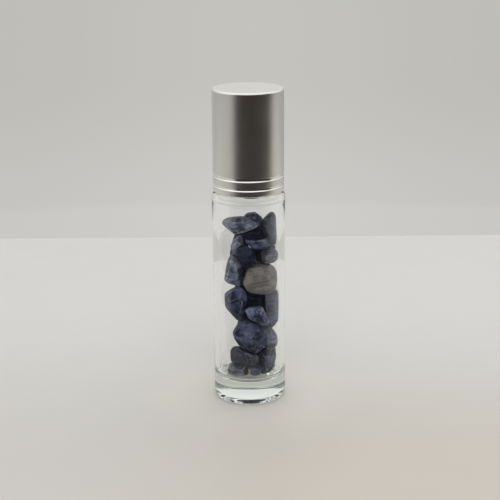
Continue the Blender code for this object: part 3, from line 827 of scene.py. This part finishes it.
def thick_glass():
    """The bottle in one mesh: punt, heel, wall, shoulder, threaded neck, lip, bore and uneven cavity."""
    outside = [(PUNT_FOOT * step / 40, punt(PUNT_FOOT * step / 40)) for step in range(41)]
    outside += arc(BODY - HEEL, HEEL, HEEL, -90, 0, 16)
    outside += ringed([(BODY, HEEL), (BODY, SHOULDER - SHOULDER_CORNER)], 1.6)[1:-1]
    outside += arc(BODY - SHOULDER_CORNER, SHOULDER - SHOULDER_CORNER, SHOULDER_CORNER, 0, 90, 12)
    outside += arc(NECK + NECK_FILLET, SHOULDER + NECK_FILLET, NECK_FILLET, -90, -180, 6)
    outside += arc(NECK, SHOULDER + BEAD_RISE, BEAD, -90, 90, 12)
    bead_top = SHOULDER + BEAD_RISE + BEAD
    outside += ringed([(NECK, bead_top), (NECK, NECK_TOP - LIP)], 0.14)[1:-1]
    outside += arc(NECK - LIP, NECK_TOP - LIP, LIP, 0, 90, 6)
    inside = arc(BORE + LIP, NECK_TOP - LIP, LIP, 90, 180, 6)
    inside += ringed([inside[-1], (BORE, CAVITY_ROOF + NECK_FILLET)], 1.5)[1:-1]
    inside += arc(BORE + NECK_FILLET, CAVITY_ROOF + NECK_FILLET, NECK_FILLET, 180, 270, 6)
    inside += arc(CAVITY - ROOF_CORNER, CAVITY_ROOF - ROOF_CORNER, ROOF_CORNER, 90, 0, 14)
    height = CAVITY_ROOF - ROOF_CORNER - 0.8
    while height > CAVITY_FLOOR + FLOOR_CORNER + 0.1:
        reach = (height - BELT_HEIGHT) / BELT_REACH
        swell = BELT_SWELL * (0.5 + 0.5 * math.cos(math.pi * reach)) if abs(reach) < 1 else 0.0
        inside.append((CAVITY - swell, height))
        height -= 0.9
    inside += arc(CAVITY - FLOOR_CORNER, CAVITY_FLOOR + FLOOR_CORNER, FLOOR_CORNER, 0, -90, 24)
    inside += [(1.2, CAVITY_FLOOR), (0.0, CAVITY_FLOOR)]

    def shift(angle, radius, height):
        if bead_top < height < NECK_TOP - 0.5 and radius > NECK - 0.01:
            return NECK_THREAD_RISE * ridge(angle, height, NECK_THREAD_FOOT, NECK_THREAD_TURNS)
        if CAVITY_FLOOR - 0.1 < height < CAVITY_ROOF and radius < CAVITY + 0.01:
            waves = math.sin(2 * angle + 0.9) * math.sin(height * 0.21)
            waves += 0.6 * math.sin(3 * angle - height * 0.13)
            return WALL_WAVES * waves * min(radius / 3.0, 1.0)
        return 0.0

    return turned("glass_wall", outside + inside, GLASS_SEGMENTS, shift=shift)


def housing():
    """Moulded fitment: ribbed plug, flange, cup with its snapped-in lip, ball seat and feed hole."""
    plug = BORE - FIT_GAP
    hollow = plug - PLUG_WALL
    corners = [(hollow, PLUG_FOOT, 0.15), (plug - PLUG_CHAMFER, PLUG_FOOT, 0.15)]
    corners.append((plug, PLUG_FOOT + PLUG_CHAMFER, 0.15))
    for share in PLUG_RIBS:
        rib = PLUG_FOOT + PLUG_LENGTH * share
        corners += [(plug, rib - RIB_HALF, 0.06), (plug + RIB_BULGE, rib, 0.05), (plug, rib + RIB_HALF, 0.06)]
    corners += [(plug, FLANGE_FOOT, 0.08), (FLANGE, FLANGE_FOOT, 0.2), (FLANGE, FLANGE_TOP, 0.25)]
    corners.append((CUP, FLANGE_TOP, 0.2))
    mouth = SOCKET * math.cos(math.radians(CUP_LIP_ANGLE))
    mouth_height = BALL_HEIGHT + SOCKET * math.sin(math.radians(CUP_LIP_ANGLE))
    corners += [(CUP, (FLANGE_TOP + mouth_height) / 2, 0.3), (mouth + CUP_LIP_WALL, mouth_height, 0.12)]
    outline = rounded([(hollow, PLUG_FOOT + 2.2, 0)] + corners + [(mouth, mouth_height, 0)])[1:]
    seat = math.acos(FEED_HOLE / SOCKET)
    outline += arc(0, BALL_HEIGHT, SOCKET, CUP_LIP_ANGLE, -math.degrees(seat), 28)[1:]
    seat_foot = BALL_HEIGHT - SOCKET * math.sin(seat) - SEAT_WALL
    outline += [(FEED_HOLE, seat_foot + 0.12), (FEED_HOLE + 0.12, seat_foot)]
    outline += [(hollow - 0.4, seat_foot), (hollow - 0.12, seat_foot - 0.08), (hollow, seat_foot - 0.4)]
    return turned("housing", outline, MOULDED_SEGMENTS, closed=True)


def steel_ball():
    """Ball made from a rounded cube, so that no face is pinched at a pole."""
    body = bmesh.new()
    bmesh.ops.create_cube(body, size=2.0)
    bmesh.ops.subdivide_edges(body, edges=body.edges, cuts=BALL_CUTS, use_grid_fill=True)
    for corner in body.verts:
        even = Vector([math.tan(value * math.pi / 4) for value in corner.co])
        corner.co = even.normalized() * BALL * MM + Vector((0, 0, BALL_HEIGHT * MM))
    mesh = bpy.data.meshes.new("steel_ball")
    body.to_mesh(mesh)
    body.free()
    return tidied(mesh)


def cap_outline():
    """Outline of the drawn shell, from its ceiling down the inside, round the hem and up to its top."""
    inner = CAP - SHELL_WALL
    ceiling = CAP_TOP - SHELL_WALL
    outline = [(0.0, ceiling)] + arc(inner - 0.3, ceiling - 0.3, 0.3, 90, 0, 5)
    outline += [(inner, CAP_FOOT + 0.5), (inner, CAP_FOOT + HEM_BEND)]
    outline += arc(inner + HEM_BEND, CAP_FOOT + HEM_BEND, HEM_BEND, 180, 270, 4)
    outline += arc(CAP - SHELL_HEM, CAP_FOOT + SHELL_HEM, SHELL_HEM, -90, 0, 5)
    for middle, width in GROOVES:
        low = middle - width / 2
        floor = CAP - GROOVE_DEPTH
        outline += [(CAP, low), (CAP - 0.02, low + 0.02), (floor + 0.02, low + width * 0.36)]
        outline += [(floor, low + width * 0.42), (floor, low + width * 0.92), (CAP, low + width)]
    outline += ringed([(CAP, GROOVES[-1][0] + 1.0), (CAP, CAP_TOP - CAP_CORNER)], 3.0)
    outline += arc(CAP - CAP_CORNER, CAP_TOP - CAP_CORNER, CAP_CORNER, 0, 90, 12)[1:]
    outline += [(5.0, CAP_TOP), (0.0, CAP_TOP)]
    return outline


def liner():
    """Inner cap: threaded wall, web over the ball, and the skirt that seals round the cup."""
    web = BALL_HEIGHT + BALL + FIT_GAP
    corners = [(0.0, web, 0), (SKIRT_BORE, web, 0.3), (SKIRT_BORE, SKIRT_FOOT, 0.15), (SKIRT, SKIRT_FOOT, 0.2)]
    corners += [(SKIRT, web, 0.3), (LINER_BORE, web, 0.3), (LINER_BORE, LINER_FOOT, 0.25)]
    corners += [(LINER, LINER_FOOT, 0.2), (LINER, LINER_TOP, 0.2), (LINER_BORE, LINER_TOP, 0.2)]
    corners += [(LINER_BORE, web + WEB, 0.4), (0.0, web + WEB, 0)]
    return turned("liner_wall", rounded(corners), MOULDED_SEGMENTS)


def broad_sides(body, most):
    """Directions of the broadest sides of a faceted solid."""
    sides = []
    for face in sorted(body.faces, key=lambda face: -face.calc_area()):
        reach = face.normal * face.calc_area()
        for side in sides:
            if side.angle(reach) < math.radians(FLAT_ANGLE):
                side += reach
                break
        else:
            sides.append(reach.copy())
    sides.sort(key=lambda side: -side.length)
    return [side.normalized() for side in sides[:most]]


def evened(values, pairs, share=0.5):
    """Move each point's value towards the middle of its neighbours' values."""
    total = np.zeros_like(values)
    np.add.at(total, pairs[:, 0], values[pairs[:, 1]])
    np.add.at(total, pairs[:, 1], values[pairs[:, 0]])
    counts = np.maximum(np.bincount(pairs.ravel(), minlength=len(values)), 1)
    middle = total / (counts[:, None] if values.ndim == 2 else counts)
    return values + (middle - values) * share


def mesh_pairs(mesh):
    """The two ends of each edge."""
    pairs = np.empty(len(mesh.edges) * 2, dtype=np.int32)
    mesh.edges.foreach_get("vertices", pairs)
    return pairs.reshape(-1, 2)


def fine_mesh(name, source):
    """Fine even mesh of a chip's plain solid, and the directions of the solid's broadest sides."""
    body = bmesh.new()
    body.from_mesh(source.data)
    bmesh.ops.remove_doubles(body, verts=body.verts, dist=0.001 * MM)
    sides = broad_sides(body, FLATS_MOST)
    rough = bpy.data.meshes.new(name + "_rough")
    body.to_mesh(rough)
    body.free()
    holder = in_scene(name + "_rough", rough)
    worn = holder.modifiers.new("worn", "REMESH")
    worn.mode = "VOXEL"
    worn.voxel_size = WORN_DETAIL * MM
    return modified(holder, name), sides


def tumbled_stone(name, source, tone, fuller, generator):
    """One chip from its plain solid: ground to flats, worn at its edges, dented, with its own grain, and a tone that
    is partly its own and partly painted light and shade.
    """
    mesh, sides = fine_mesh(name, source)
    count = len(mesh.vertices)
    places = np.empty(count * 3)
    mesh.vertices.foreach_get("co", places)
    places = evened(places.reshape(-1, 3) / MM, mesh_pairs(mesh))
    for side in sides:
        reach = places @ np.array(side)
        over = np.maximum(reach - (reach.max() - generator.uniform(*GROUND_OFF)), 0.0)
        places -= over[:, None] * np.array(side)
    for _ in range(2):
        places = evened(places, mesh_pairs(mesh))
    mesh.vertices.foreach_set("co", (places * MM).ravel())
    mesh.update()

    away = Vector([generator.uniform(-GRAIN_SHIFT, GRAIN_SHIFT) for _ in range(3)])
    turn = Euler([generator.uniform(0, math.tau) for _ in range(3)]).to_matrix()
    normals = np.array([vertex.normal for vertex in mesh.vertices])
    bend = ((places - evened(places, mesh_pairs(mesh), 1.0)) * normals).sum(axis=1)
    for _ in range(3):
        bend = evened(bend, mesh_pairs(mesh))
    mesh.attributes.new("stone_grain", "FLOAT_VECTOR", "POINT")
    mesh.attributes.new("stone_tone", "FLOAT_VECTOR", "POINT")
    mesh.attributes.new("stone_edge", "FLOAT", "POINT")
    grain = mesh.attributes["stone_grain"].data
    mesh.attributes["stone_tone"].data.foreach_set("vector", [*tone, 0.0] * count)
    # stone_edge marks the convex edges that the marbling paints paler, partly as wear and partly as a painted
    # highlight.
    mesh.attributes["stone_edge"].data.foreach_set("value", np.clip((bend - EDGE_BEND) / EDGE_BEND_RANGE, 0.0, 1.0))
    for vertex, normal in zip(mesh.vertices, normals):
        place = vertex.co / MM + away
        dent = sum(depth * (0.5 + 0.5 * noise.noise(place * waves)) for depth, waves in DENTS)
        vertex.co -= Vector(normal) * (dent - CHIP_SWELL - fuller) * MM
        grain[vertex.index].vector = turn @ place
    mesh.shade_smooth()
    return mesh


# The scene


def build_pieces():
    """Every visible piece, on its body, in its finish, in place of its plain solid."""
    handled = handled_surface_group()
    marbling = stone_marbling_group()

    glass = thick_glass()
    glass.materials.append(clear_glass())
    piece("glass_wall", glass, "bottle", "clear_glass", "glass_bottle")

    colours = (0.80, 0.81, 0.79), (0.70, 0.71, 0.69)
    natural = moulded_plastic("housing_plastic", *colours, handled, rough=0.36, scatter=0.35)
    cup = housing()
    cup.materials.append(natural)
    piece("ball_housing", cup, "bottle", "housing_plastic", "roller_housing")

    ball = steel_ball()
    ball.materials.append(polished_steel(handled))
    piece("steel_ball", ball, "roller", "polished_steel", "roller_ball")

    satin = satin_aluminium(handled)
    outline = [((radius - CAP) * MM, -height * MM, 0.0) for radius, height in cap_outline()]
    values = {"Ring Radius": CAP * MM, "Ring Segments": SHELL_SEGMENTS, "Finish": satin}
    shell = grown(drawn_shell_tree(), "drawn_shell", values, outline)
    piece("drawn_shell", shell, "cap", "satin_aluminium", "cap_shell")

    colours = (0.86, 0.86, 0.84), (0.78, 0.78, 0.76)
    white = moulded_plastic("liner_plastic", *colours, handled, rough=0.40, scatter=0.15)
    wall = liner()
    wall.materials.append(white)
    piece("liner_wall", wall, "inner_cap", "liner_plastic", "cap_liner")
    between = NECK_THREAD_FOOT - LEAD / 2
    values = {"Lead": LEAD * MM, "Turns": LINER_THREAD_TURNS, "Finish": white}
    values["Start Height"] = (between + LEAD * LINER_THREAD_START) * MM
    values["Start Turn"] = LINER_THREAD_START
    piece("liner_thread", grown(moulded_thread_tree(), "liner_thread", values), "inner_cap", "liner_plastic")
    values = {"Rib Count": GRIP_RIBS, "Rib Height": GRIP_RIB_LENGTH * MM, "Finish": white}
    values["Middle Height"] = GRIP_RIB_MIDDLE * MM
    piece("liner_ribs", grown(grip_ribs_tree(), "liner_ribs", values), "inner_cap", "liner_plastic")

    finishes = {name: polished_stone(name, marbling) for name in STONES}
    slots = {row["node"]: row["material_slot"] for row in frame["record"]["subparts"]}
    generator = random.Random(CHIP_SEED)
    for chip in sorted(name for name in slots if name.startswith("chip_")):
        label = chip.removeprefix("chip_")
        tone = TONES.get(label, BACK_TONE)
        fuller = FULLER_CHIPS.get(label, 0.0)
        mesh = tumbled_stone("stone_" + label, frame["nodes"][chip], tone, fuller, generator)
        mesh.materials.clear()
        mesh.materials.append(finishes[slots[chip]])
        piece(mesh.name, mesh, "bottle", slots[chip], chip)


def build_floor():
    """Pale board, whose back edge is the line where floor meets wall."""
    body = bmesh.new()
    sides = (-FLOOR_HALF_WIDTH, FLOOR_HALF_WIDTH)
    corners = [(x, FLOOR_FRONT) for x in sides] + [(x, FLOOR_BACK) for x in reversed(sides)]
    body.faces.new([body.verts.new((x, y, -FLOOR_DROP)) for x, y in corners])
    mesh = bpy.data.meshes.new("floor")
    body.to_mesh(mesh)
    body.free()
    mesh.materials.append(pale_floor())
    floor = in_scene("floor", mesh)


def pale_room(tree, across, height):
    """Wall, lighter low down and darker to the sides, under a bright ceiling."""
    wall = blended(tree, spread(tree, height, -0.15, -0.265), (0.548, 0.542, 0.512), (0.600, 0.592, 0.568))
    wall = blended(tree, spread(tree, height, -0.250, -0.256), wall, (0.622, 0.615, 0.596))
    wall = dimmed(tree, wall, spread(tree, maths(tree, "ABSOLUTE", across), 0.0, 0.2, 1.0, 0.94))
    sky = blended(tree, spread(tree, height, -0.1, 0.45), wall, (0.80, 0.79, 0.77))
    return blended(tree, spread(tree, height, 0.35, 0.70), sky, (1.15, 1.15, 1.13))


def mirrored_room(tree, compass, height, sky, path):
    """The same room with what only mirrors and glass show: a grey flank, a dark room and a dark patch ahead."""
    flank = spread(tree, facing(tree, compass, DARK_ROOM_SIDE), -1.0, -0.8)
    flank = times(tree, flank, spread(tree, height, 0.14, 0.0), spread(tree, height, -0.252, -0.243))
    mirrored = times(tree, path["Is Glossy Ray"], maths(tree, "SUBTRACT", 1.0, path["Is Transmission Ray"]))
    sky = blended(tree, times(tree, flank, mirrored), sky, (0.425, 0.415, 0.395))
    room = times(tree, in_dark_room(tree, compass), spread(tree, height, 0.75, 0.45))
    bounced = maths(tree, "GREATER_THAN", path["Glossy Depth"], 0.5)
    ahead = spread(tree, node(tree, "ShaderNodeSeparateXYZ", {0: compass}).outputs[1], -0.75, -0.92)
    through = times(tree, ahead, spread(tree, height, -0.08, 0.05), path["Is Transmission Ray"])
    dark = maths(tree, "MAXIMUM", times(tree, room, bounced), through)
    return blended(tree, dark, sky, (0.034, 0.027, 0.023))


def build_world():
    """Plain even light on all surfaces, and a room round them for the camera, metal and glass to see."""
    world = bpy.data.worlds.new("soft_room")
    world.use_nodes = True
    world.cycles.sampling_method = "NONE"
    tree = world.node_tree
    bpy.context.scene.world = world
    toward = node(tree, "ShaderNodeTexCoord").outputs["Generated"]
    parts = node(tree, "ShaderNodeSeparateXYZ", {0: toward}).outputs
    path = node(tree, "ShaderNodeLightPath").outputs
    sky = pale_room(tree, parts[0], parts[2])
    sky = mirrored_room(tree, level_compass(tree, toward), parts[2], sky, path)
    seen = maths(tree, "MAXIMUM", path["Is Camera Ray"], path["Is Glossy Ray"])
    seen = maths(tree, "MAXIMUM", seen, path["Is Transmission Ray"])
    seen = times(tree, seen, maths(tree, "LESS_THAN", path["Diffuse Depth"], 0.5))
    colour = blended(tree, seen, (0.54, 0.54, 0.54), sky)
    tree.links.new(colour, tree.nodes["Background"].inputs["Color"])


def area_lamp(name, place, target, size, power, colour):
    """Soft square lamp that neither metal nor glass shows."""
    lamp = bpy.data.lights.new(name, "AREA")
    lamp.shape = "SQUARE"
    lamp.size = size
    lamp.energy = power
    lamp.color = colour
    item = in_scene(name, lamp)
    item.location = place
    item.rotation_mode = "QUATERNION"
    item.rotation_quaternion = (Vector(target) - Vector(place)).to_track_quat("-Z", "Y")
    item.visible_glossy = item.visible_transmission = False


def build_camera():
    """Camera worked out from the edges of the cap, the body and the base, a little over eye height."""
    pitch = math.radians(CAMERA_PITCH)
    roll = math.radians(CAMERA_ROLL)
    across = Vector((1, 0, 0))
    ahead = Vector((0, math.cos(pitch), -math.sin(pitch)))
    over = Vector((0, math.sin(pitch), math.cos(pitch)))
    right = across * math.cos(roll) + over * math.sin(roll)
    up = over * math.cos(roll) - across * math.sin(roll)
    lens = bpy.data.cameras.new("camera")
    lens.sensor_width = 36.0
    lens.lens = CAMERA_LENS
    lens.shift_x = CAMERA_SHIFT
    lens.clip_start = 0.01
    camera = in_scene("camera", lens)
    stand = Matrix((right, up, -ahead)).transposed().to_4x4()
    stand.translation = Vector(CAMERA_PLACE)
    camera.matrix_world = stand
    bpy.context.scene.camera = camera


build_pieces()
build_floor()
build_world()
area_lamp("soft_box", (0.06, 0.16, 0.62), (0.0, 0.0, 0.04), size=0.5, power=0.9, colour=(1.0, 0.985, 0.96))
area_lamp("front_fill", (0.02, -0.45, 0.75), (0.0, 0.0, 0.03), size=0.5, power=1.5, colour=(1.0, 0.99, 0.97))
build_camera()
bpy.context.scene.view_settings.view_transform = "Standard"
cycles = bpy.context.scene.cycles
cycles.max_bounces = cycles.transmission_bounces = cycles.glossy_bounces = LIGHT_BOUNCES
